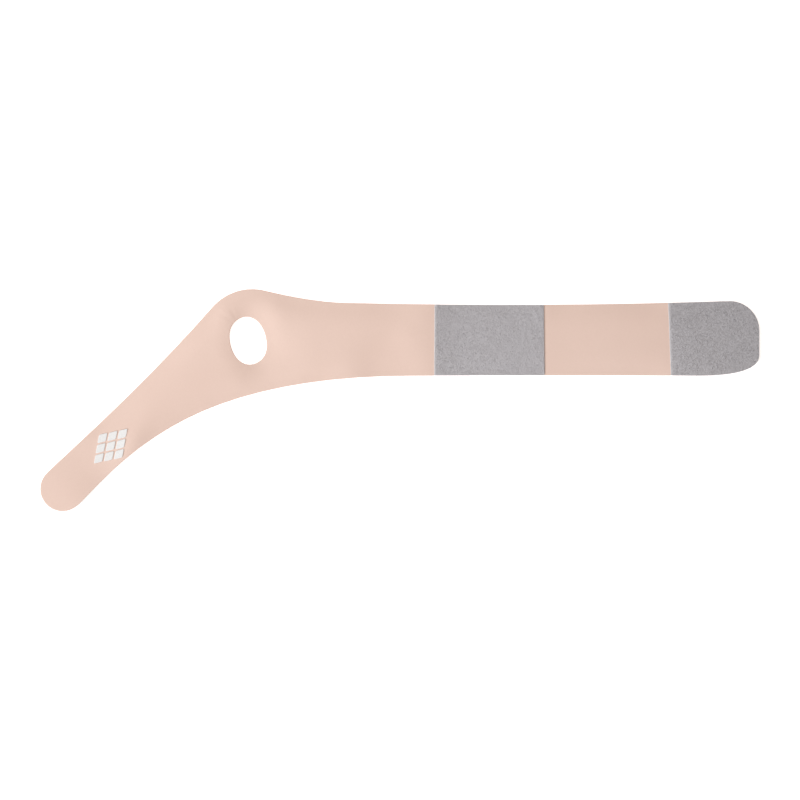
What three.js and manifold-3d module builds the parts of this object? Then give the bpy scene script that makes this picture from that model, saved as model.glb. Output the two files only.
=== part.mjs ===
// Wrist wrap with a thumb hole, lying flat on a surface. Millimetres, +Z up.
// It is drawn about the centre of the thumb hole, with the strap running towards +X and the tail
// down towards -X and -Y. At the end it is moved so that the origin is the middle of its footprint.
import * as THREE from "three";
import { mergeVertices } from "three/addons/utils/BufferGeometryUtils.js";
import Module from "manifold-3d";

const wasm = await Module();
wasm.setup();

// Thicknesses
const clothThickness = 1.6;
const loopThickness = 1.2;
const hookThickness = 1.0;
const printThickness = 0.35;
const seatGap = 0.2; // between two layers that are bonded on the real one

// Thumb hole, an oval that leans back from the strap
const holeWidth = 22.3;
const holeHeight = 28.8;
const holeSideLean = 3.2; // the left extreme lies this much above the centre, the right one below
const holeTopLean = 0.8; // the top extreme lies this much left of the centre, the bottom one right

// Hump round the thumb hole
const rimWidth = 17.5; // cloth between the hole's top and the hump's edge
const humpShift = 2.4; // its centre, right of the hole's
const humpDrop = 0.9; // and below it
const humpLeave = 76.5; // degrees: where its round ends and the shoulder to the strap begins

// Strap
const strapReach = 306.8; // from the hole's centre to the rounded end
const strapWidth = 42.3; // at its waist
const strapRise = 0.4; // its centre line above the hole's centre
const upperFlare = 2.25; // the upper edge at the rounded end, above the waist
const upperRoot = 61; // where the shoulder meets the upper edge
const rootFlare = 1.1; // the upper edge there, above the waist
const lowerRoot = 98.1; // where the lower edge leaves the heel's curve
const lowerFlare = 0.3; // the lower edge at both ends, below the waist
const endCorner = 17.7; // radius of the upper corner of the rounded end
const endSweepLength = 35.2; // the lower corner is one long curve
const endSweepHeight = 12;
const sweepFlat = 0.64; // share of its length over which it stays near the lower edge
const sweepTurn = 0.36; // share of its height at which it turns up

// Heel, where the lower edge turns into the tail
const heelBack = 17.4; // left of the hole's centre
const heelDrop = 38.3; // below it
const heelSlope = 20.1; // degrees

// Tail
const tipBack = 111.3; // centre of the round tip, left of the hole's centre
const tipDrop = 88.9; // and below it
const tailWidth = 27;
const tailSlope = 46; // degrees
const tailStraight = 16.6; // straight stretch of the lower edge, from the tip
const tailNip = 3; // degrees by which the upper edge bows inwards at each end

// Loop patches on the upper face and hook patches on the lower face
const middlePatchStart = 111.8; // from the hole's centre
const middlePatchLength = 66;
const endPatchLength = 54; // from the rounded end inwards
const endHookLength = 46;
const tailHookLength = 38; // from the tip's end inwards
const hookInset = 2.6; // hook patches stay this far inside the cloth's edge

// Raised print near the tail's end: a lattice of lozenges
const printAlong = 38.6; // its middle, from the tip's centre towards the hole
const printAcross = -3; // off the tail's axis, towards the lower edge
const printLength = 30.6;
const printWidth = 20.9;
const printRows = 3;
const printGap = 1.3; // taken off each lozenge's diagonals
const lozengeRound = 0.8; // how far from a corner its round begins

// How the cloth lies
const clothRise = 2.2; // the highest it stands off the surface, beside the thumb hole
const edgeReach = 13; // it comes down to the surface over this width along its outline
const holeReachNear = 8; // and over this width round the thumb hole, on the side of the tail
const holeReachFar = 34; // and on the side of the strap
const hookRamp = 16; // length over which it climbs onto a hook patch

// Fineness of the mesh
const meshPitch = 5;
const curveSteps = 8;
const lozengeSteps = 2;

const radians = THREE.MathUtils.degToRad;
const between = THREE.MathUtils.smoothstep;
const mix = THREE.MathUtils.lerp;

// Rise along the strap: place as a share of strapReach, height as a share of clothRise
const risesAlong = [
  { place: -0.45, height: 0.3 },
  { place: -0.25, height: 0.5 },
  { place: -0.09, height: 0.85 },
  { place: 0.1, height: 1.0 },
  { place: 0.24, height: 0.55 },
  { place: 0.36, height: 0.34 },
  { place: 0.59, height: 0.34 },
  { place: 0.7, height: 0.46 },
  { place: 1.0, height: 0.4 },
];

// Local dents and swells: place along and reach as shares of strapReach, place across as a share of
// strapWidth, height as a share of clothRise
const swells = [
  { along: 0.228, across: -0.3, reach: 0.05, height: -0.2 },
  { along: 0.296, across: -0.13, reach: 0.06, height: 0.14 },
  { along: 0.13, across: 0.36, reach: 0.05, height: -0.22 },
  { along: -0.05, across: 0.4, reach: 0.04, height: -0.25 },
  { along: -0.18, across: -1.1, reach: 0.06, height: 0.2 },
];

// Patches across the strap. Their cut edges lean: going down the strap's width, an edge moves on by
// this share of it.
const patches = [
  {
    name: "middle_loop_patch",
    start: middlePatchStart,
    end: middlePatchStart + middlePatchLength,
    startLean: -0.005,
    endLean: 0.012,
  },
  {
    name: "end_loop_patch",
    start: strapReach - endPatchLength,
    end: strapReach + endPatchLength,
    startLean: 0.037,
    endLean: 0,
  },
];

const humpRadius = holeHeight / 2 + rimWidth;
const strapTop = strapRise + strapWidth / 2;
const strapBottom = strapRise - strapWidth / 2;
const tailAxis = new THREE.Vector2(1, 0).rotateAround(new THREE.Vector2(), radians(tailSlope));
const tipCentre = new THREE.Vector2(-tipBack, -tipDrop);
const humpCentre = new THREE.Vector2(humpShift, -humpDrop);

const pointAt = (centre, radius, degrees) =>
  new THREE.Vector2(
    centre.x + radius * Math.cos(radians(degrees)),
    centre.y + radius * Math.sin(radians(degrees)),
  );

// The strap's rounded end, from its lower edge up and round to its upper edge, drawn inset
function drawStrapEnd(path, inset) {
  const end = strapReach - inset;
  const bottom = strapBottom - lowerFlare + inset;
  const top = strapTop + upperFlare - inset;
  const corner = endCorner - inset;
  const sweepStart = strapReach - endSweepLength;
  const sweepTop = bottom + endSweepHeight - inset;
  path.bezierCurveTo(
    sweepStart + endSweepLength * sweepFlat - inset,
    bottom,
    end,
    mix(bottom, sweepTop, sweepTurn),
    end,
    sweepTop,
  );
  path.lineTo(end, top - corner);
  path.absarc(end - corner, top - corner, corner, 0, Math.PI / 2, false);
}

// The whole outline, anticlockwise from the lower edge of the tail
function wrapOutline() {
  const tailFoot = pointAt(tipCentre, tailWidth / 2, tailSlope - 90);
  const tailTurn = tailFoot.clone().addScaledVector(tailAxis, tailStraight);
  const heel = new THREE.Vector2(-heelBack, -heelDrop);
  const lowerEdge = strapBottom - lowerFlare;
  // The two curves of the heel meet there with one tangent
  const slope = Math.tan(radians(heelSlope));
  const tailRise = Math.tan(radians(tailSlope));
  const crotchX = (heel.y - slope * heel.x - (tailFoot.y - tailRise * tailFoot.x)) / (tailRise - slope);
  const crotchY = heel.y + slope * (crotchX - heel.x);
  const soleX = heel.x + (lowerEdge - heel.y) / slope;

  const path = new THREE.Shape();
  path.moveTo(tailFoot.x, tailFoot.y);
  path.lineTo(tailTurn.x, tailTurn.y);
  path.quadraticCurveTo(crotchX, crotchY, heel.x, heel.y);
  path.quadraticCurveTo(soleX, lowerEdge, lowerRoot, lowerEdge);
  const sweepStart = strapReach - endSweepLength;
  path.quadraticCurveTo((lowerRoot + sweepStart) / 2, lowerEdge + 2 * lowerFlare, sweepStart, lowerEdge);
  drawStrapEnd(path, 0);

  // Upper edge of the strap, then the shoulder down onto the hump's round
  const endTop = strapTop + upperFlare;
  const rootTop = strapTop + rootFlare;
  const endX = strapReach - endCorner;
  const waist = 2 * strapTop - (endTop + rootTop) / 2;
  path.quadraticCurveTo((endX + upperRoot) / 2, waist, upperRoot, rootTop);
  const leave = pointAt(humpCentre, humpRadius, humpLeave);
  const shoulderX = leave.x + (leave.y - rootTop) * Math.tan(radians(humpLeave));
  path.quadraticCurveTo(shoulderX, rootTop, leave.x, leave.y);
  const humpEnd = tailSlope + 90 + tailNip;
  path.absarc(humpCentre.x, humpCentre.y, humpRadius, radians(humpLeave), radians(humpEnd), false);

  // Upper edge of the tail, bowed a little inwards, then the round tip
  const tipEnd = tailSlope + 90 - tailNip;
  const from = pointAt(humpCentre, humpRadius, humpEnd);
  const to = pointAt(tipCentre, tailWidth / 2, tipEnd);
  const handle = from.distanceTo(to) / 3;
  const leaveHump = pointAt(from, handle, humpEnd + 90);
  const meetTip = pointAt(to, handle, tipEnd - 90);
  path.bezierCurveTo(leaveHump.x, leaveHump.y, meetTip.x, meetTip.y, to.x, to.y);
  path.absarc(tipCentre.x, tipCentre.y, tailWidth / 2, radians(tipEnd), radians(tailSlope + 270), false);
  return path;
}

// The thumb hole, as four quarter ellipses between its extremes
function thumbHole() {
  const path = new THREE.Path();
  const long = { x: holeWidth / 2 + holeTopLean, y: holeHeight / 2 + holeSideLean };
  const short = { x: holeWidth / 2 - holeTopLean, y: holeHeight / 2 - holeSideLean };
  const quarters = [
    { x: -holeTopLean, y: -holeSideLean, radii: long },
    { x: -holeTopLean, y: holeSideLean, radii: short },
    { x: holeTopLean, y: holeSideLean, radii: long },
    { x: holeTopLean, y: -holeSideLean, radii: short },
  ];
  quarters.forEach(({ x, y, radii }, quarter) => {
    const start = (quarter * Math.PI) / 2;
    path.absellipse(x, y, radii.x, radii.y, start, start + Math.PI / 2, false, 0);
  });
  return path;
}

const wrapShape = wrapOutline();
const outlinePoints = wrapShape.getPoints(curveSteps);
const holePoints = thumbHole().getPoints(curveSteps / 2);
wrapShape.holes.push(thumbHole());

// Distance from a place to the nearest side of a closed row of points
function distanceTo(points, x, y) {
  const place = new THREE.Vector3(x, y, 0);
  const side = new THREE.Line3();
  const nearest = new THREE.Vector3();
  let least = Infinity;
  points.forEach((point, i) => {
    const next = points[(i + 1) % points.length];
    side.start.set(point.x, point.y, 0);
    side.end.set(next.x, next.y, 0);
    side.closestPointToPoint(place, true, nearest);
    least = Math.min(least, nearest.distanceTo(place));
  });
  return least;
}

function isInside(points, x, y) {
  let inside = false;
  points.forEach((point, i) => {
    const next = points[(i + 1) % points.length];
    const spans = point.y > y !== next.y > y;
    if (spans && x < point.x + ((y - point.y) / (next.y - point.y)) * (next.x - point.x)) {
      inside = !inside;
    }
  });
  return inside;
}

// Height of a smooth line through the rows of risesAlong
function riseAt(x) {
  const place = x / strapReach;
  const next = risesAlong.findIndex((row) => row.place > place);
  if (next === 0) {
    return risesAlong[0].height;
  }
  if (next < 0) {
    return risesAlong[risesAlong.length - 1].height;
  }
  const before = risesAlong[next - 1];
  const after = risesAlong[next];
  return mix(before.height, after.height, between(place, before.place, after.place));
}

// 1 over the hook patches, falling to 0 along the ramp in front of each
function hookCover(x, y) {
  const strapEdge = strapReach - endHookLength - meshPitch;
  const tailEdge = tailHookLength - tailWidth / 2 + meshPitch;
  const along = (x - tipCentre.x) * tailAxis.x + (y - tipCentre.y) * tailAxis.y;
  const underEnd = between(x, strapEdge - hookRamp, strapEdge);
  const underTail = 1 - between(along, tailEdge, tailEdge + hookRamp);
  return Math.max(underEnd, underTail);
}

// How high the cloth's lower face stands off the surface
function clothLift(x, y) {
  if (!isInside(outlinePoints, x, y) || isInside(holePoints, x, y)) {
    return hookCover(x, y) * (hookThickness + seatGap);
  }
  const edge = Math.min(distanceTo(outlinePoints, x, y) / edgeReach, 1);
  const side = between(x, -holeWidth / 2, holeWidth / 2);
  const holeReach = mix(holeReachNear, holeReachFar, side);
  const rim = Math.min(distanceTo(holePoints, x, y) / holeReach, 1);
  let height = riseAt(x);
  swells.forEach((swell) => {
    const aside = Math.hypot(x - swell.along * strapReach, y - swell.across * strapWidth);
    height += swell.height * Math.exp(-((aside / (swell.reach * strapReach)) ** 2));
  });
  const free = clothRise * height * edge * (2 - edge) * rim * (2 - rim);
  return mix(free, hookThickness + seatGap, hookCover(x, y));
}

const box = new THREE.Box2().setFromPoints(outlinePoints);
const middle = box.getCenter(new THREE.Vector2());

function asManifold(geometry) {
  const bare = geometry.clone();
  bare.deleteAttribute("normal");
  bare.deleteAttribute("uv");
  const merged = mergeVertices(bare);
  return new wasm.Manifold(
    new wasm.Mesh({
      numProp: 3,
      vertProperties: new Float32Array(merged.attributes.position.array),
      triVerts: new Uint32Array(merged.index.array),
    }),
  );
}

function asGeometry(solid) {
  const mesh = solid.getMesh();
  const geometry = new THREE.BufferGeometry();
  geometry.setAttribute("position", new THREE.BufferAttribute(mesh.vertProperties, 3));
  geometry.setIndex(new THREE.BufferAttribute(mesh.triVerts, 1));
  geometry.computeVertexNormals();
  return geometry;
}

// A closed sheet over the whole footprint that follows the cloth, between two heights above its
// lower face
const columns = Math.ceil((box.max.x - box.min.x) / meshPitch) + 2;
const lines = Math.ceil((box.max.y - box.min.y) / meshPitch) + 2;
const lifts = [];
for (let line = 0; line <= lines; line += 1) {
  for (let column = 0; column <= columns; column += 1) {
    const x = middle.x + (column - columns / 2) * meshPitch;
    const y = middle.y + (line - lines / 2) * meshPitch;
    lifts.push(clothLift(x, y));
  }
}

function followingSheet(low, high) {
  const sheet = new THREE.BoxGeometry(columns * meshPitch, lines * meshPitch, 1, columns, lines, 1);
  const position = sheet.attributes.position;
  for (let i = 0; i < position.count; i += 1) {
    const column = Math.round(position.getX(i) / meshPitch + columns / 2);
    const line = Math.round(position.getY(i) / meshPitch + lines / 2);
    const level = position.getZ(i) > 0 ? high : low;
    const lift = lifts[line * (columns + 1) + column];
    position.setXYZ(i, position.getX(i) + middle.x, position.getY(i) + middle.y, lift + level);
  }
  return asManifold(sheet);
}

// A straight prism that reaches above and below everything
function prism(shape, curveSegments) {
  const depth = 4 * (clothRise + clothThickness + hookThickness + loopThickness);
  const geometry = new THREE.ExtrudeGeometry(shape, { depth, bevelEnabled: false, curveSegments });
  geometry.translate(0, 0, -depth / 2);
  return asManifold(geometry);
}

// The part of the strap between two cut edges that lean
function strapStretch({ start, end, startLean, endLean }) {
  const shape = new THREE.Shape();
  const high = box.max.y + meshPitch;
  const low = box.min.y - meshPitch;
  const leanAt = (lean, y) => lean * (strapRise - y);
  shape.moveTo(start + leanAt(startLean, low), low);
  shape.lineTo(end + leanAt(endLean, low), low);
  shape.lineTo(end + leanAt(endLean, high), high);
  shape.lineTo(start + leanAt(startLean, high), high);
  return shape;
}

const finishes = {
  cloth: new THREE.MeshStandardMaterial({ color: 0xe6cabd, roughness: 0.85, metalness: 0 }),
  loop: new THREE.MeshStandardMaterial({ color: 0xaba7a9, roughness: 1, metalness: 0 }),
  hook: new THREE.MeshStandardMaterial({ color: 0x8f8c8e, roughness: 0.7, metalness: 0 }),
  print: new THREE.MeshStandardMaterial({ color: 0xf0ece9, roughness: 0.5, metalness: 0 }),
};

const group = new THREE.Group();

function addPiece(name, geometry, finish) {
  const mesh = new THREE.Mesh(geometry, finish);
  mesh.name = name;
  mesh.position.set(-middle.x, -middle.y, 0);
  group.add(mesh);
}

const outlinePrism = prism(wrapShape, curveSteps);
const clothTop = clothThickness + seatGap;

function addWrapBody() {
  const solid = followingSheet(0, clothThickness).intersect(outlinePrism);
  addPiece("wrap_body", asGeometry(solid), finishes.cloth);
}

function addLoopPatches() {
  const layer = followingSheet(clothTop, clothTop + loopThickness).intersect(outlinePrism);
  patches.forEach((patch) => {
    const solid = layer.intersect(prism(strapStretch(patch), 1));
    addPiece(patch.name, asGeometry(solid), finishes.loop);
  });
}

function addHookPatches() {
  const depth = hookThickness;
  const options = { depth, bevelEnabled: false, curveSegments: curveSteps };

  const end = new THREE.Shape();
  const back = strapReach - endHookLength;
  end.moveTo(back, strapTop - hookInset);
  end.lineTo(back, strapBottom + hookInset);
  end.lineTo(Math.max(back, strapReach - endSweepLength), strapBottom + hookInset);
  drawStrapEnd(end, hookInset);
  addPiece("end_hook_patch", new THREE.ExtrudeGeometry(end, options), finishes.hook);

  const tail = new THREE.Shape();
  const radius = tailWidth / 2 - hookInset;
  const foot = pointAt(tipCentre, radius, tailSlope - 90);
  const head = pointAt(tipCentre, radius, tailSlope + 90);
  const reach = tailHookLength - tailWidth / 2;
  tail.moveTo(foot.x, foot.y);
  tail.lineTo(foot.x + tailAxis.x * reach, foot.y + tailAxis.y * reach);
  tail.lineTo(head.x + tailAxis.x * reach, head.y + tailAxis.y * reach);
  tail.lineTo(head.x, head.y);
  tail.absarc(tipCentre.x, tipCentre.y, radius, radians(tailSlope + 90), radians(tailSlope + 270), false);
  addPiece("tail_hook_patch", new THREE.ExtrudeGeometry(tail, options), finishes.hook);
}

// One lozenge of the print, its long diagonal along the tail, with rounded corners
function lozengeShape(centre) {
  const halfLong = printLength / printRows / 2 - printGap / 2;
  const halfWide = printWidth / printRows / 2 - printGap / 2;
  const across = new THREE.Vector2(-tailAxis.y, tailAxis.x);
  const corners = [
    centre.clone().addScaledVector(tailAxis, halfLong),
    centre.clone().addScaledVector(across, halfWide),
    centre.clone().addScaledVector(tailAxis, -halfLong),
    centre.clone().addScaledVector(across, -halfWide),
  ];
  const shape = new THREE.Shape();
  corners.forEach((corner, i) => {
    const before = corners[(i + 3) % 4];
    const after = corners[(i + 1) % 4];
    const round = lozengeRound / corner.distanceTo(before);
    const enter = corner.clone().lerp(before, round);
    const exit = corner.clone().lerp(after, round);
    if (i === 0) {
      shape.moveTo(enter.x, enter.y);
    } else {
      shape.lineTo(enter.x, enter.y);
    }
    shape.quadraticCurveTo(corner.x, corner.y, exit.x, exit.y);
  });
  return shape;
}

function addPrint() {
  const layer = followingSheet(clothTop, clothTop + printThickness);
  const across = new THREE.Vector2(-tailAxis.y, tailAxis.x);
  const centre = tipCentre.clone().addScaledVector(tailAxis, printAlong).addScaledVector(across, printAcross);
  let count = 0;
  for (let row = 0; row < printRows; row += 1) {
    for (let step = 0; step < printRows; step += 1) {
      // The rows of the lattice run along the lozenges' sides
      const along = ((row + step - (printRows - 1)) * printLength) / printRows / 2;
      const aside = ((row - step) * printWidth) / printRows / 2;
      const place = centre.clone().addScaledVector(tailAxis, along).addScaledVector(across, aside);
      count += 1;
      const solid = layer.intersect(prism(lozengeShape(place), lozengeSteps));
      addPiece(`print_lozenge_${count}`, asGeometry(solid), finishes.print);
    }
  }
}

addWrapBody();
addLoopPatches();
addHookPatches();
addPrint();

export default group;
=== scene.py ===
import math

import bmesh
import bpy
import numpy as np
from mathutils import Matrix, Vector, geometry, kdtree, noise
from mathutils.bvhtree import BVHTree


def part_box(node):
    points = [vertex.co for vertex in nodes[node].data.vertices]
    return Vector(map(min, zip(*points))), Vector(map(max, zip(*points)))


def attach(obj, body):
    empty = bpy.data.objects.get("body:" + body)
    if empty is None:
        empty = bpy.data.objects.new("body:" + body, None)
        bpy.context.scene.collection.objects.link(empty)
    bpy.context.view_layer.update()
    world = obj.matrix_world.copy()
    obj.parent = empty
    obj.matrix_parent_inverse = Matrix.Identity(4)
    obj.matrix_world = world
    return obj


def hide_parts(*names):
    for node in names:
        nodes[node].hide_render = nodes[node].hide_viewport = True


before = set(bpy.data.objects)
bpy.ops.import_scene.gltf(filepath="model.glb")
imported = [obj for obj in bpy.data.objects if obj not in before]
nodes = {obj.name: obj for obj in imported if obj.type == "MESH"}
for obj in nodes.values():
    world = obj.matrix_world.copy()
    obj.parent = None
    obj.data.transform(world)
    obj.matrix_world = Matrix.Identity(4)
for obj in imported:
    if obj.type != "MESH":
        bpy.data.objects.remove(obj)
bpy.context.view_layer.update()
mm = 0.001
tiny = 1e-6  # keeps a divisor above nothing
print("frame loaded with", len(nodes), "CAD nodes")


# Helpers for materials. Object coordinates are metres in the row frame, because every
# piece sits at the origin.

def setSockets(node, values):
    for socket, value in values.items():
        node.inputs[socket].default_value = value


def startMaterial(name, surface):
    material = bpy.data.materials.new(name)
    material.use_nodes = True
    tree = material.node_tree
    shader = tree.nodes["Principled BSDF"]
    setSockets(shader, surface)
    return material, tree, shader


def addNode(tree, kind, **settings):
    node = tree.nodes.new(kind)
    for key, value in settings.items():
        setattr(node, key, value)
    return node


def addPlace(tree):
    return addNode(tree, "ShaderNodeTexCoord").outputs["Object"]


def addPointValue(tree, name):
    # What setPointValues has put on the mesh
    return addNode(tree, "ShaderNodeAttribute", attribute_name=name).outputs["Fac"]


def addMath(tree, operation, first, second=None, third=None):
    node = addNode(tree, "ShaderNodeMath", operation=operation)
    for socket, value in zip(node.inputs, (first, second, third)):
        if value is None:
            continue
        if isinstance(value, (int, float)):
            socket.default_value = value
        else:
            tree.links.new(value, socket)
    return node.outputs[0]


def addNoise(tree, place, scale, detail, roughness=0.5):
    node = addNode(tree, "ShaderNodeTexNoise")
    setSockets(node, {"Scale": scale, "Detail": detail, "Roughness": roughness})
    tree.links.new(place, node.inputs["Vector"])
    return node.outputs["Fac"]


def addColor(tree, shader, factor, stops):
    # stops are positions and colours of a ramp
    node = addNode(tree, "ShaderNodeValToRGB")
    tree.links.new(factor, node.inputs["Fac"])
    elements = node.color_ramp.elements
    while len(elements) < len(stops):
        elements.new(0.5)
    for element, (position, color) in zip(elements, stops):
        element.position = position
        element.color = (*color, 1)
    tree.links.new(node.outputs["Color"], shader.inputs["Base Color"])


def addTwoTone(tree, shader, factor, look):
    # A noise seldom leaves 0.3 to 0.7, so the two colours lie there
    addColor(tree, shader, factor, [(0.3, look["deep"]), (0.7, look["pale"])])


def addRoughness(tree, shader, factor, look):
    lowest = look["roughness"] - look["roughnessSpread"] / 2
    rough = addMath(tree, "MULTIPLY_ADD", factor, look["roughnessSpread"], lowest)
    tree.links.new(rough, shader.inputs["Roughness"])


def addBump(tree, shader, height, strength, distance):
    node = addNode(tree, "ShaderNodeBump")
    setSockets(node, {"Strength": strength, "Distance": distance})
    tree.links.new(height, node.inputs["Height"])
    tree.links.new(node.outputs["Normal"], shader.inputs["Normal"])


# Camera, floor and light

view = {
    "lens": 100.0,
    "sensor": 36.0,
    "nearClip": 10 * mm,
    "frameWidth": 480 * mm,  # what the picture's side spans at the cloth
    "aside": (0.19 * mm, 0.14 * mm),
    "clothHeight": 3 * mm,
}


def makeCamera():
    data = bpy.data.cameras.new("camera")
    data.lens = view["lens"]
    data.sensor_width = view["sensor"]
    data.clip_start = view["nearClip"]
    camera = bpy.data.objects.new("camera", data)
    distance = view["frameWidth"] * view["lens"] / view["sensor"]
    camera.location = (*view["aside"], view["clothHeight"] + distance)
    bpy.context.collection.objects.link(camera)
    bpy.context.scene.camera = camera


studio = {
    "floorSize": 6.0,
    # The floor glows like a light table, so shadows stay faint
    "floorSurface": {
        "Base Color": (0.9, 0.9, 0.9, 1),
        "Roughness": 0.9,
        "Specular IOR Level": 0.1,
        "Emission Color": (1, 1, 1, 1),
        "Emission Strength": 0.62,
    },
    # A cool key over a warm sky, so the slopes away from it go beige
    "sky": {"Color": (1.08, 1.0, 0.93, 1), "Strength": 0.33},
    "keyPlace": (-4.4, -2.9, 2.6),
    "keySize": 2.4,
    "keyPower": 357.0,
    "keyColor": (0.93, 1.0, 1.07),
    "overheadPlace": (-0.25, 0.29, 0.75),
    "overheadSize": 0.5,
    "overheadPower": 2.5,
    "overheadColor": (1.0, 1.0, 1.0),
}


def makeFloor():
    half = studio["floorSize"] / 2
    corners = [(-half, -half, 0), (half, -half, 0), (half, half, 0), (-half, half, 0)]
    data = bpy.data.meshes.new("floor")
    data.from_pydata(corners, [], [(0, 1, 2, 3)])
    floor = bpy.data.objects.new("floor", data)
    bpy.context.collection.objects.link(floor)
    material, _, _ = startMaterial("paleFloor", studio["floorSurface"])
    data.materials.append(material)


def makeLamp(name, aim):
    place = studio[name + "Place"]
    data = bpy.data.lights.new(name + "Lamp", "AREA")
    data.shape = "DISK"
    data.size = studio[name + "Size"]
    data.energy = studio[name + "Power"]
    data.color = studio[name + "Color"]
    lamp = bpy.data.objects.new(name + "Lamp", data)
    lamp.location = place
    lamp.rotation_euler = (Vector(aim) - Vector(place)).to_track_quat("-Z", "Y").to_euler()
    lamp.visible_camera = False
    bpy.context.collection.objects.link(lamp)


def makeLight():
    makeLamp("key", (0, 0, 0))
    makeLamp("overhead", (*studio["overheadPlace"][:2], 0))  # straight down
    world = bpy.data.worlds.new("sky")
    world.use_nodes = True
    setSockets(world.node_tree.nodes["Background"], studio["sky"])
    bpy.context.scene.world = world
    bpy.context.scene.view_settings.view_transform = "Standard"


# Materials. A noise is its scale, detail and roughness, a bump its strength and height.

knit = {
    "wale": 0.62 * mm,  # from one rib of the jersey to the next
    "course": 0.5 * mm,  # from one stitch to the next along a rib
    "stitchLean": 2.4,  # how far a stitch leans on its rib, in radians
    "stitchHeight": 0.35,  # beside a rib's 1
    "bump": (0.35, 0.05 * mm),
    "pale": (0.765, 0.57, 0.484),
    "deep": (0.725, 0.53, 0.445),
    "cloud": (14, 3),
    "grain": (900, 2, 0.6),
    "grainShare": 0.35,  # the grain's part in the colour; the cloud has the rest
    "roughness": 0.78,
    "roughnessSpread": 0.14,
    "surface": {"Specular IOR Level": 0.25, "Sheen Weight": 0.12, "Sheen Roughness": 0.4},
}


def addKnitHeight(tree, place):
    # A fine jersey: ribs along the strap's width, with stitches that lean into each rib
    split = addNode(tree, "ShaderNodeSeparateXYZ")
    tree.links.new(place, split.inputs[0])
    across = addMath(tree, "MULTIPLY", split.outputs["X"], math.pi / knit["wale"])
    rib = addMath(tree, "ABSOLUTE", addMath(tree, "SINE", across))
    turn = addMath(tree, "MULTIPLY", split.outputs["Y"], 2 * math.pi / knit["course"])
    stitch = addMath(tree, "SINE", addMath(tree, "MULTIPLY_ADD", rib, knit["stitchLean"], turn))
    return addMath(tree, "MULTIPLY_ADD", stitch, knit["stitchHeight"], rib)


def makeKnitMaterial():
    material, tree, shader = startMaterial("pinkKnit", knit["surface"])
    place = addPlace(tree)
    cloud = addNoise(tree, place, *knit["cloud"])
    grain = addNoise(tree, place, *knit["grain"])
    cloudPart = addMath(tree, "MULTIPLY", cloud, 1 - knit["grainShare"])
    tone = addMath(tree, "MULTIPLY_ADD", grain, knit["grainShare"], cloudPart)
    addTwoTone(tree, shader, tone, knit)
    addRoughness(tree, shader, grain, knit)
    addBump(tree, shader, addKnitHeight(tree, place), *knit["bump"])
    return material


cutEdge = {
    "skin": (0.72, 0.52, 0.44),
    "core": (0.80, 0.66, 0.58),
    "coreFrom": 0.24,  # share of the thickness
    "coreTo": 0.76,
    "fade": (0.05, 0.03),  # how far the change of colour reaches into the skin and the core
    "grain": (2500, 2, 0.6),
    "shake": 0.12,  # how far the grain shifts the core's borders
    "bump": (0.6, 0.08 * mm),
    "surface": {"Roughness": 0.85, "Specular IOR Level": 0.2},
}


def makeCutEdgeMaterial():
    # The die-cut edge shows the paler core between the two faces
    material, tree, shader = startMaterial("cutEdge", cutEdge["surface"])
    grain = addNoise(tree, addPlace(tree), *cutEdge["grain"])
    depth = addMath(tree, "SUBTRACT", addPointValue(tree, "depth"), cutEdge["shake"] / 2)
    shaky = addMath(tree, "MULTIPLY_ADD", grain, cutEdge["shake"], depth)
    skin, core = cutEdge["skin"], cutEdge["core"]
    low, high = cutEdge["coreFrom"], cutEdge["coreTo"]
    out, into = cutEdge["fade"]
    stops = [(low - out, skin), (low + into, core), (high - into, core), (high + out, skin)]
    addColor(tree, shader, shaky, stops)
    addBump(tree, shader, grain, *cutEdge["bump"])
    return material


loopYarn = {
    "deep": (0.401, 0.38, 0.387),
    "pale": (0.580, 0.55, 0.560),
    # painted highlight: the yarn's colour where a patch's left edge catches the key light
    "paintedHighlight": (0.60, 0.575, 0.58),
    "paleAt": 0.7,  # shade at which the yarn is pale; deep is at 0 and the painted highlight at 1
    "tuft": (1500, 2, 0.6),
    "mottle": 0.3,  # how much the tufts change the ground's shade
    "winding": (1000, 1),
    "curls": 36.0,  # more makes finer curls of yarn in the ground
    # painted shade: darker yarn in the grooves between the curls, paler on their ridges
    "curlPaintedShade": 0.1,
    "curlShare": 0.5,  # a curl's height beside a tuft's
    "bump": (0.8, 0.075 * mm),
    "ground": {"Roughness": 0.92, "Specular IOR Level": 0.15},
    "fibre": {"Roughness": 0.85, "Specular IOR Level": 0.15},
}


def addYarnColor(tree, shader, shade):
    middle = (loopYarn["paleAt"], loopYarn["pale"])
    addColor(tree, shader, shade, [(0.0, loopYarn["deep"]), middle, (1.0, loopYarn["paintedHighlight"])])


def makeFibreMaterial():
    material, tree, shader = startMaterial("loopFibre", loopYarn["fibre"])
    addYarnColor(tree, shader, addPointValue(tree, "shade"))
    return material


def makeLoopGroundMaterial():
    material, tree, shader = startMaterial("loopGround", loopYarn["ground"])
    place = addPlace(tree)
    tuft = addNoise(tree, place, *loopYarn["tuft"])
    # Winding ridges between the loops: the level lines of a smooth noise
    winding = addNoise(tree, place, *loopYarn["winding"])
    curl = addMath(tree, "SINE", addMath(tree, "MULTIPLY", winding, loopYarn["curls"]))
    mottle = loopYarn["mottle"]
    shade = addMath(tree, "SUBTRACT", addPointValue(tree, "shade"), mottle / 2)
    mottled = addMath(tree, "MULTIPLY_ADD", tuft, mottle, shade)
    # Painted shade: the grooves between the curls darker, their ridges paler
    curled = addMath(tree, "MULTIPLY_ADD", curl, loopYarn["curlPaintedShade"], mottled)
    addYarnColor(tree, shader, curled)
    height = addMath(tree, "MULTIPLY_ADD", curl, loopYarn["curlShare"], tuft)
    addBump(tree, shader, height, *loopYarn["bump"])
    return material


hookTape = {
    "deep": (0.25, 0.245, 0.25),
    "pale": (0.31, 0.3, 0.305),
    "cloud": (300, 2),
    "bump": (0.3, 0.05 * mm),
    "surface": {"Roughness": 0.48},
}


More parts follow.
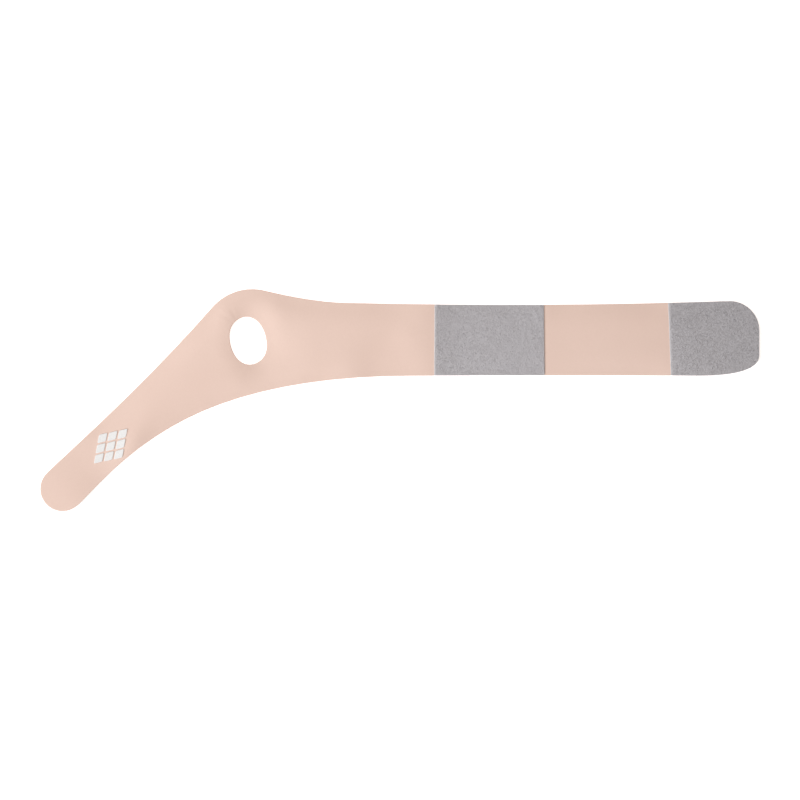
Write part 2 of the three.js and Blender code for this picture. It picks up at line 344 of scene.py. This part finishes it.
def makeHookMaterial():
    material, tree, shader = startMaterial("hookTape", hookTape["surface"])
    cloud = addNoise(tree, addPlace(tree), *hookTape["cloud"])
    addTwoTone(tree, shader, cloud, hookTape)
    addBump(tree, shader, cloud, *hookTape["bump"])
    return material


whitePrint = {
    "deep": (0.72, 0.70, 0.68),
    "pale": (0.78, 0.76, 0.745),
    "cloud": (1200, 2),
    "roughness": 0.46,
    "roughnessSpread": 0.2,
    "bump": (0.25, 0.04 * mm),
    "surface": {},
}


def makePrintMaterial():
    material, tree, shader = startMaterial("whitePrint", whitePrint["surface"])
    cloud = addNoise(tree, addPlace(tree), *whitePrint["cloud"])
    addTwoTone(tree, shader, cloud, whitePrint)
    addRoughness(tree, shader, cloud, whitePrint)
    addBump(tree, shader, cloud, *whitePrint["bump"])
    return material


# Shapes read from the frame

reading = {
    "weld": 0.001 * mm,
    "wallTilt": 0.4,  # a wall's normal rises less than this
    "topTilt": 0.6,  # and an upper face's rises more than this
    "fewest": 12,  # points on a row that is evened out
    "rayStart": -1.0,  # height, well under the part
    "faint": 1e-3,  # below this share of known heights the mean takes over
}


def readNode(name):
    # The rows of points round a solid's upper face, largest first, and a tree to find its
    # faces by
    bm = bmesh.new()
    bm.from_mesh(nodes[name].data)
    bmesh.ops.remove_doubles(bm, verts=bm.verts, dist=reading["weld"])
    bm.normal_update()
    tree = BVHTree.FromBMesh(bm)
    beside = {}
    for edge in bm.edges:
        tilts = sorted(face.normal.z for face in edge.link_faces)
        if len(tilts) != 2:
            continue
        if abs(tilts[0]) < reading["wallTilt"] and tilts[1] > reading["topTilt"]:
            a, b = edge.verts
            beside.setdefault(a, []).append(b)
            beside.setdefault(b, []).append(a)
    loops = []
    while beside:
        row, here, before = [], next(iter(beside)), None
        while here in beside:
            row.append(here.co.xy)
            onward = [v for v in beside.pop(here) if v is not before]
            before, here = here, onward[0]
        loops.append(np.array(row))
    bm.free()
    loops.sort(key=lambda row: -abs(signedArea(row)))
    # Anticlockwise outside and clockwise round a hole, so that the cloth is always on the left
    loops = [row if (signedArea(row) > 0) == (i == 0) else row[::-1] for i, row in enumerate(loops)]
    return loops, tree


def signedArea(row):
    x, y = row.T
    return 0.5 * float(np.dot(x, np.roll(y, -1)) - np.dot(y, np.roll(x, -1)))


def evenLoop(row, step, blur):
    # Evenly spaced points along a closed row, with the facets smoothed off it
    closed = np.vstack([row, row[:1]])
    along = np.r_[0, np.cumsum(np.hypot(*np.diff(closed, axis=0).T))]
    count = max(reading["fewest"], int(round(along[-1] / step)))
    at = np.arange(count) * along[-1] / count
    loop = np.c_[np.interp(at, along, closed[:, 0]), np.interp(at, along, closed[:, 1])]
    waves = np.fft.fftfreq(count, along[-1] / count)
    keep = np.exp(-2 * (math.pi * waves * blur) ** 2)
    return np.fft.ifft(np.fft.fft(loop, axis=0) * keep[:, None], axis=0).real


def loopNormals(loop):
    # Unit vectors out of the cloth
    ahead = np.roll(loop, -1, axis=0) - np.roll(loop, 1, axis=0)
    normals = np.c_[ahead[:, 1], -ahead[:, 0]]
    return normals / np.hypot(*normals.T)[:, None]


def blurGrid(grid, width):
    reach = int(math.ceil(3 * width))
    weights = np.exp(-0.5 * (np.arange(-reach, reach + 1) / width) ** 2)
    weights /= weights.sum()
    for axis in (0, 1):
        sides = [(reach, reach) if a == axis else (0, 0) for a in (0, 1)]
        padded = np.pad(grid, sides, mode="edge")
        size = grid.shape[axis]
        rolled = [np.take(padded, np.arange(k, k + size), axis=axis) for k in range(2 * reach + 1)]
        grid = sum(w * part for w, part in zip(weights, rolled))
    return grid


def lowerFace(tree, low, high, step, blur):
    # A smooth height over the plan, read from the solid's lower face
    margin = 3 * blur + step
    columns = int(math.ceil((high.x - low.x + 2 * margin) / step)) + 1
    lines = int(math.ceil((high.y - low.y + 2 * margin) / step)) + 1
    startX, startY = low.x - margin, low.y - margin
    heights = np.zeros((lines, columns))
    known = np.zeros((lines, columns))
    up = Vector((0, 0, 1))
    for j in range(lines):
        for i in range(columns):
            start = Vector((startX + i * step, startY + j * step, reading["rayStart"]))
            hit = tree.ray_cast(start, up)[0]
            if hit is not None:
                heights[j, i], known[j, i] = hit.z, 1
    near = blurGrid(known, blur / step)
    smooth = blurGrid(heights * known, blur / step) / np.maximum(near, tiny)
    smooth[near < reading["faint"]] = heights[known > 0].mean()
    beforeLast = 1.001  # keeps a place short of the last line, so that it has a next one

    def heightAt(points):
        u = np.clip((points[:, 0] - startX) / step, 0, columns - beforeLast)
        v = np.clip((points[:, 1] - startY) / step, 0, lines - beforeLast)
        i, j = u.astype(int), v.astype(int)
        u, v = u - i, v - j
        lower = smooth[j, i] * (1 - u) + smooth[j, i + 1] * u
        upper = smooth[j + 1, i] * (1 - u) + smooth[j + 1, i + 1] * u
        return lower * (1 - v) + upper * v

    return heightAt


# Sheets

filling = {
    "rimClear": 0.6,  # pitches between the rim and the first points inside it
    "insideOnly": 1,  # leaves out the triangles outside the rims
    "weld": 1e-5,  # mm
}
edgeAngles = (60, 30, 0)  # where a rounded edge has its rings of points, in degrees


def depthInside(rims):
    # How far inside the rims a place lies, below 0 outside them
    rim = np.vstack(rims)
    outward = np.vstack([loopNormals(loop) for loop in rims])
    finder = kdtree.KDTree(len(rim))
    for index, point in enumerate(rim):
        finder.insert((*point, 0), index)
    finder.balance()

    def depthAt(x, y):
        _, index, far = finder.find((x, y, 0))
        out = np.dot(outward[index], (x - rim[index][0], y - rim[index][1]))
        return far if out < 0 else -far

    return depthAt


def fillPlan(rims, spacing, dense):
    # Triangles between the rims: an even spread of points, finer where dense says so. dense
    # holds circles as centre x and y, radius and pitch.
    rim = np.vstack(rims)
    depthAt = depthInside(rims)
    low, high = rim.min(0), rim.max(0)
    points = []

    def spread(pitch, wanted):
        row = pitch * math.sqrt(3) / 2
        for j in range(int((high[1] - low[1]) / row) + 1):
            y = low[1] + j * row
            for i in range(int((high[0] - low[0]) / pitch) + 2):
                x = low[0] + (i - 0.5 * (j % 2)) * pitch
                if wanted(x, y) and depthAt(x, y) > filling["rimClear"] * pitch:
                    points.append((x, y))

    spread(spacing, lambda x, y: not any(math.hypot(x - d[0], y - d[1]) < d[2] for d in dense))
    for centreX, centreY, radius, pitch in dense:
        spread(pitch, lambda x, y: math.hypot(x - centreX, y - centreY) < radius)
    plan = np.vstack([rim, np.array(points).reshape(-1, 2)])
    edges, first = [], 0
    for loop in rims:
        edges += [(first + k, first + (k + 1) % len(loop)) for k in range(len(loop))]
        first += len(loop)
    inMm = [Vector(p) / mm for p in plan.tolist()]
    verts, _, faces, origins, _, _ = geometry.delaunay_2d_cdt(
        inMm, edges, [], filling["insideOnly"], filling["weld"]
    )
    inHole = range(len(rims[0]), len(rim))
    faces = [face for face in faces if not all(origins[v][0] in inHole for v in face)]
    place = {source: index for index, sources in enumerate(origins) for source in sources}
    return np.array([v[:] for v in verts]) * mm, faces, place


def makeSheet(name, loops, heightAt, thickness, look, materials):
    # A closed sheet with round edges. look holds step, blur, edgeRound and spacing, and may
    # hold dense. A second material goes on the rounded edge.
    edgeRound = look["edgeRound"]
    rings = [evenLoop(row, look["step"], look["blur"]) for row in loops]
    normals = [loopNormals(loop) for loop in rings]
    rims = [loop - normal * edgeRound for loop, normal in zip(rings, normals)]
    plan, faces, place = fillPlan(rims, look["spacing"], look.get("dense", []))
    base = heightAt(plan)
    count = len(plan)
    verts = [np.c_[plan, base + thickness], np.c_[plan, base]]
    depth = [np.ones(count), np.zeros(count)]
    polygons = [tuple(face) for face in faces]
    polygons += [tuple(count + k for k in reversed(face)) for face in faces]
    slots = [0] * len(polygons)
    total, first = 2 * count, 0
    bends = []
    for angle in map(math.radians, edgeAngles):
        drop = edgeRound * (1 - math.sin(angle))
        bends.append((edgeRound * (1 - math.cos(angle)), thickness - drop))
    bends += [(inset, thickness - height) for inset, height in reversed(bends)]
    for loop, normal in zip(rings, normals):
        size = len(loop)
        upper = [place[first + k] for k in range(size)]
        rows = [upper]
        for inset, height in bends:
            ring = loop - normal * inset
            verts.append(np.c_[ring, heightAt(ring) + height])
            depth.append(np.full(size, height / thickness))
            rows.append(list(range(total, total + size)))
            total += size
        rows.append([count + k for k in upper])
        for r in range(len(rows) - 1):
            for k in range(size):
                onward = (k + 1) % size
                polygons.append((rows[r][k], rows[r + 1][k], rows[r + 1][onward], rows[r][onward]))
                slots.append(1 if 0 < r < len(rows) - 2 else 0)
        first += size
    piece = addPiece(name, np.vstack(verts), polygons, materials)
    lastSlot = len(materials) - 1
    piece.data.polygons.foreach_set("material_index", [min(slot, lastSlot) for slot in slots])
    setPointValues(piece, "depth", np.concatenate(depth))
    # Keeps the flat evenly lit right up to the rounded edge
    piece.modifiers.new("evenNormals", "WEIGHTED_NORMAL")
    return piece


def addPiece(name, verts, polygons, materials):
    data = bpy.data.meshes.new(name)
    data.from_pydata(verts.tolist(), [], polygons)
    data.validate()
    for material in materials:
        data.materials.append(material)
    data.polygons.foreach_set("use_smooth", [True] * len(data.polygons))
    data.update()
    piece = bpy.data.objects.new(name, data)
    bpy.context.collection.objects.link(piece)
    return piece


def setPointValues(piece, name, values):
    piece.data.attributes.new(name, "FLOAT", "POINT").data.foreach_set("value", values)


def placePiece(piece, slot, *replaced):
    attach(piece, "root")
    if replaced:
        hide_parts(*replaced)


# Thin round threads, each a short tube along its own row of points

def makeThreads(name, paths, radius, sides, shades, material):
    # paths is threads by points by 3
    many, long, _ = paths.shape
    ahead = np.gradient(paths, axis=1)
    ahead /= np.linalg.norm(ahead, axis=2, keepdims=True)
    lean = np.zeros_like(ahead)
    lean[..., 0], lean[..., 1] = -ahead[..., 1], ahead[..., 0]
    flat = np.linalg.norm(lean, axis=2, keepdims=True)
    upright = 0.05  # a thread flatter than this has a side of its own
    lean = np.where(flat > upright, lean / np.maximum(flat, tiny), np.array([0.0, 1.0, 0.0]))
    over = np.cross(ahead, lean)
    turns = (2 * math.pi * np.arange(sides) / sides)[:, None]
    ring = np.cos(turns) * lean[:, :, None] + np.sin(turns) * over[:, :, None]
    verts = (paths[:, :, None] + radius[:, None, None, None] * ring).reshape(-1, 3)
    start = (np.arange(many) * long * sides)[:, None, None]
    along = (np.arange(long - 1) * sides)[None, :, None]
    side = np.arange(sides)[None, None, :]
    onward = (np.arange(sides) + 1) % sides
    a, b = start + along + side, start + along + onward[None, None, :]
    quads = np.stack([a, b, b + sides, a + sides], axis=-1).reshape(-1, 4)
    first = start[:, 0] + np.arange(sides)[None, ::-1]
    last = start[:, 0] + (long - 1) * sides + np.arange(sides)[None, :]
    polygons = quads.tolist() + first.tolist() + last.tolist()
    piece = addPiece(name, verts, polygons, [material])
    setPointValues(piece, "shade", np.repeat(shades, long * sides))
    return piece


# The cloth

cloth = {
    "thickness": 1.6 * mm,
    "lowest": 0.03 * mm,  # above the floor
    "gridStep": 1.2 * mm,
    "fieldBlur": 3.0 * mm,
    "waves": [(9 * mm, 0.012 * mm)],  # wavelength and height of its unevenness
    "look": {"step": 0.8 * mm, "blur": 1.2 * mm, "edgeRound": 0.22 * mm, "spacing": 1.6 * mm},
    # Round the thumb hole the triangles are finer, for the creases. The hole's middle is
    # found from its row of points with this step and blur.
    "hole": (1 * mm, 1 * mm),
    "denseRadius": 27 * mm,
    "densePitch": 0.6 * mm,
}

# Soft swells of the cloth as it lies: place x and y, reach along and across, turn in degrees
# and height. All but the turn are in mm.
swells = [
    (-102.5, 42.6, 13, 8, 97, 1.0),
    (15.7, 38.7, 55, 14.1, 91, 1.0),
    (-29.4, 14, 28.5, 12.9, 80, 1.0),
    (-161.2, -28.5, 5.9, 13.4, 146, 1.0),
    (-75, 47.9, 11.4, 15.4, 9, 0.87),
    (157.9, 26.3, 45, 21.3, 151, 1.0),
    (-191, -60, 27.9, 14.9, 147, 1.0),
    (-11.5, 55, 55, 17.6, 9, 1.0),
    (-159.1, -26.6, 20.9, 11.1, 26, 1.0),
    (-57.5, 22.8, 55, 10.5, 174, -0.15),
    (85.8, 53.9, 10, 6.5, 54, 0.5),
    (-120.4, 37.5, 35.9, 8.6, 31, 1.0),
    (-96.3, 22.3, 11.9, 6, 144, 0.44),
    (-78.8, 65.1, 9, 3.2, 164, -0.15),
    (154.9, 49.6, 24.9, 10.8, 173, 0.69),
    (5.6, 38.6, 8.5, 7.6, 166, 0.34),
    # creases that run up and left from the thumb hole's rim
    (-101.5, 51.5, 5, 1.0, 128, 0.055),
    (-103.6, 51.8, 6, 1.1, 140, 0.055),
    (-98.6, 53.6, 5, 1.0, 112, 0.05),
    (-105.6, 48.4, 4, 1.0, 158, 0.045),
    (-96.2, 52.9, 3.5, 1.0, 20, 0.035),
]


def clothRelief(points):
    relief = np.zeros(len(points))
    for length, height in cloth["waves"]:
        places = [Vector((x / length, y / length, length / mm)) for x, y in points]
        relief += [height * noise.noise(place) for place in places]
    for x, y, reachAlong, reachAcross, turn, height in swells:
        turnX, turnY = math.cos(math.radians(turn)), math.sin(math.radians(turn))
        awayX, awayY = (points / mm - (x, y)).T
        along = (awayX * turnX + awayY * turnY) / reachAlong
        across = (awayY * turnX - awayX * turnY) / reachAcross
        relief += height * mm * np.exp(-along * along - across * across)
    return relief


def makeCloth(materials):
    loops, tree = readNode("wrap_body")
    low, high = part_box("wrap_body")
    fieldAt = lowerFace(tree, low, high, cloth["gridStep"], cloth["fieldBlur"])

    def clothAt(points):
        # Height of the cloth's lower face
        return np.maximum(fieldAt(points) + clothRelief(points), cloth["lowest"])

    centreX, centreY = evenLoop(loops[1], *cloth["hole"]).mean(0)
    dense = [(centreX, centreY, cloth["denseRadius"], cloth["densePitch"])]
    look = dict(cloth["look"], dense=dense)
    piece = makeSheet("wrapCloth", loops, clothAt, cloth["thickness"], look, materials)
    print("cloth made,", len(piece.data.polygons), "faces")
    placePiece(piece, "wrap_fabric", "wrap_body")
    return clothAt


# Loop patches: a backing cut across the strap, and a pile of small loops on it

patchLook = {
    "gap": 0.04 * mm,  # between the cloth and the backing
    "backing": 0.36 * mm,
    "look": {"step": 0.6 * mm, "blur": 0.35 * mm, "edgeRound": 0.16 * mm, "spacing": 1.0 * mm},
    "rim": (0.5 * mm, 0.3 * mm),  # step and blur of the rim that loops and shades keep to
    # Shade of the yarn at the patch's middle, and its change from left to right and from
    # bottom to top. The change is painted shade: darker towards the top, and on the end patch
    # towards the right too, where the patch would slope away from the light.
    "middleLoop": (0.384, 0.0, -0.047),
    "endLoop": (0.288, -0.143, -0.161),
    "highlightWidth": 1.6 * mm,  # width of the painted highlight along the left edge, which faces the thumb hole and the key light
    "highlightFrom": 3 * mm,  # the rim up to here from its leftmost point is that edge
}

pile = {
    "density": 4.7,  # loops on each square millimetre
    "span": (0.5 * mm, 1.1 * mm),
    "height": (0.03 * mm, 0.07 * mm),
    "lean": 0.25 * mm,
    "radius": (0.035 * mm, 0.055 * mm),
    "sides": 3,
    # Points of a loop as shares of its span, its height and its lean
    "bend": [(-0.5, -0.12, 0.0), (0.0, 1.0, 1.0), (0.5, -0.12, 0.3)],
    "margin": 0.32 * mm,  # how far inside the edge a loop's middle stays
    "clump": 1.4 * mm,
    "clumpTone": 0.02,
    "loopTone": 0.08,
}


def yarnShade(points, rim, shade, paintedShadeAcross, paintedShadeUp):
    # Shade of the yarn at each point: an even change over the patch, which is painted shade, and a
    # painted highlight along the lit left edge
    low, high = rim.min(0), rim.max(0)
    share = (points - (low + high) / 2) / (high - low)
    left = rim[rim[:, 0] < low[0] + patchLook["highlightFrom"]]
    left = left[np.argsort(left[:, 1])]
    inward = points[:, 0] - np.interp(points[:, 1], left[:, 1], left[:, 0])
    # Painted highlight where the left edge catches the key light
    paintedHighlight = np.exp(-((inward / patchLook["highlightWidth"]) ** 2))
    return np.maximum(shade + share @ (paintedShadeAcross, paintedShadeUp), paintedHighlight)


def drawPlaces(draw, rims, wanted):
    depthAt = depthInside(rims)
    low, high = rims[0].min(0), rims[0].max(0)
    places = []
    while len(places) < wanted:
        x, y = draw.uniform(low, high)
        if depthAt(x, y) > pile["margin"]:
            places.append((x, y))
    return np.array(places)


def drawLoops(draw, places, top):
    # A row of points and a radius for each loop
    wanted = len(places)
    bearing = draw.uniform(0, 2 * math.pi, wanted)
    span = draw.uniform(*pile["span"], wanted)
    height = draw.uniform(*pile["height"], wanted)
    lean = draw.normal(0, pile["lean"], wanted)
    along = np.c_[np.cos(bearing), np.sin(bearing)]
    aside = np.c_[-np.sin(bearing), np.cos(bearing)]
    paths = np.zeros((wanted, len(pile["bend"]), 3))
    for k, (share, rise, sway) in enumerate(pile["bend"]):
        shift = along * (span * share)[:, None] + aside * (lean * sway)[:, None]
        paths[:, k, :2] = places + shift
        paths[:, k, 2] = top + height * rise
    return paths, draw.uniform(*pile["radius"], wanted)


def makeLoopPatch(node, name, clothAt, groundMaterial, fibreMaterial, seed):
    loops, _ = readNode(node)
    foot = cloth["thickness"] + patchLook["gap"]
    thickness = patchLook["backing"]

    def backingAt(points):
        return clothAt(points) + foot

    backing = makeSheet(
        name + "Backing", loops, backingAt, thickness, patchLook["look"], [groundMaterial]
    )
    rims = [evenLoop(row, *patchLook["rim"]) for row in loops]
    plan = np.array([vertex.co.xy for vertex in backing.data.vertices])
    setPointValues(backing, "shade", yarnShade(plan, rims[0], *patchLook[name]))

    area = sum(signedArea(loop) for loop in rims)
    wanted = int(pile["density"] * area / mm / mm)
    draw = np.random.default_rng(seed)
    places = drawPlaces(draw, rims, wanted)
    paths, radius = drawLoops(draw, places, backingAt(places) + thickness)
    spots = [Vector((x / pile["clump"], y / pile["clump"], seed)) for x, y in places]
    clump = np.array([noise.noise(spot) for spot in spots])
    spread = draw.uniform(-pile["loopTone"], pile["loopTone"], wanted)
    shades = yarnShade(places, rims[0], *patchLook[name]) + pile["clumpTone"] * clump + spread
    threads = makeThreads(name + "Pile", paths, radius, pile["sides"], shades, fibreMaterial)
    print(name, "made with", wanted, "loops")

    placePiece(backing, "loop_pile", node)
    placePiece(threads, "loop_pile")


# Hook patches under the two ends

hookLook = {
    "gap": 0.05 * mm,  # between the base and the lowest of the cloth over its rim
    "base": 0.45 * mm,
    "look": {"step": 1.0 * mm, "blur": 0.6 * mm, "edgeRound": 0.12 * mm, "spacing": 3 * mm},
    "pitch": (1.35 * mm, 1.1 * mm),
    "margin": 1.1 * mm,
    "radius": 0.12 * mm,
    "sides": 4,
    # Points of a hook: mm aside, and share of the way down to the floor
    "bend": [(0.0, -0.1), (0.0, 0.62), (0.12, 0.92), (0.32, 1.0), (0.46, 0.78)],
}


def makeHookPatch(node, name, clothAt, material):
    loops, _ = readNode(node)
    look = hookLook["look"]
    rim = evenLoop(loops[0], look["step"], look["blur"])
    foot = float(np.min(clothAt(rim))) - hookLook["gap"] - hookLook["base"]

    def footAt(points):
        return np.full(len(points), foot)

    base = makeSheet(name + "Base", loops[:1], footAt, hookLook["base"], look, [material])
    depthAt = depthInside([rim])
    low, high = rim.min(0), rim.max(0)
    pitchX, pitchY = hookLook["pitch"]
    places = []
    for j in range(int((high[1] - low[1]) / pitchY) + 1):
        for i in range(int((high[0] - low[0]) / pitchX) + 1):
            x, y = low[0] + (i + 0.5 * (j % 2)) * pitchX, low[1] + j * pitchY
            if depthAt(x, y) > hookLook["margin"]:
                places.append((x, y, 1 if j % 2 else -1))  # the rows face left and right in turn
    places = np.array(places)
    hang = foot - hookLook["radius"]  # how far down the hooks may reach
    paths = np.zeros((len(places), len(hookLook["bend"]), 3))
    for k, (aside, drop) in enumerate(hookLook["bend"]):
        paths[:, k, 0] = places[:, 0] + places[:, 2] * aside * mm
        paths[:, k, 1] = places[:, 1]
        paths[:, k, 2] = foot - hang * drop
    radius = np.full(len(places), hookLook["radius"])
    shades = np.zeros(len(places))
    hooks = makeThreads(name + "Hooks", paths, radius, hookLook["sides"], shades, material)
    print(name, "made with", len(places), "hooks")

    placePiece(base, "hook_tape", node)
    placePiece(hooks, "hook_tape")


# The raised print

printLook = {
    "gap": 0.02 * mm,
    "thickness": 0.34 * mm,
    "look": {"step": 0.25 * mm, "blur": 0.12 * mm, "edgeRound": 0.13 * mm, "spacing": 0.6 * mm},
}


def makePrint(clothAt, material):
    foot = cloth["thickness"] + printLook["gap"]

    def printAt(points):
        return clothAt(points) + foot

    names = sorted(name for name in nodes if name.startswith("print_lozenge_"))
    for index, node in enumerate(names):
        name = "printLozenge%d" % (index + 1)
        loops, _ = readNode(node)
        pad = makeSheet(
            name, loops, printAt, printLook["thickness"], printLook["look"], [material]
        )
        placePiece(pad, "raised_print", node)
    print("print made with", len(names), "lozenges")


# Everything together

makeCamera()
makeFloor()
makeLight()
print("camera, floor and light set")

fibreMaterial = makeFibreMaterial()
groundMaterial = makeLoopGroundMaterial()
clothAt = makeCloth([makeKnitMaterial(), makeCutEdgeMaterial()])
makeLoopPatch("middle_loop_patch", "middleLoop", clothAt, groundMaterial, fibreMaterial, 3)
makeLoopPatch("end_loop_patch", "endLoop", clothAt, groundMaterial, fibreMaterial, 8)
hookMaterial = makeHookMaterial()
makeHookPatch("end_hook_patch", "endHook", clothAt, hookMaterial)
makeHookPatch("tail_hook_patch", "tailHook", clothAt, hookMaterial)
makePrint(clothAt, makePrintMaterial())

print("all pieces made")
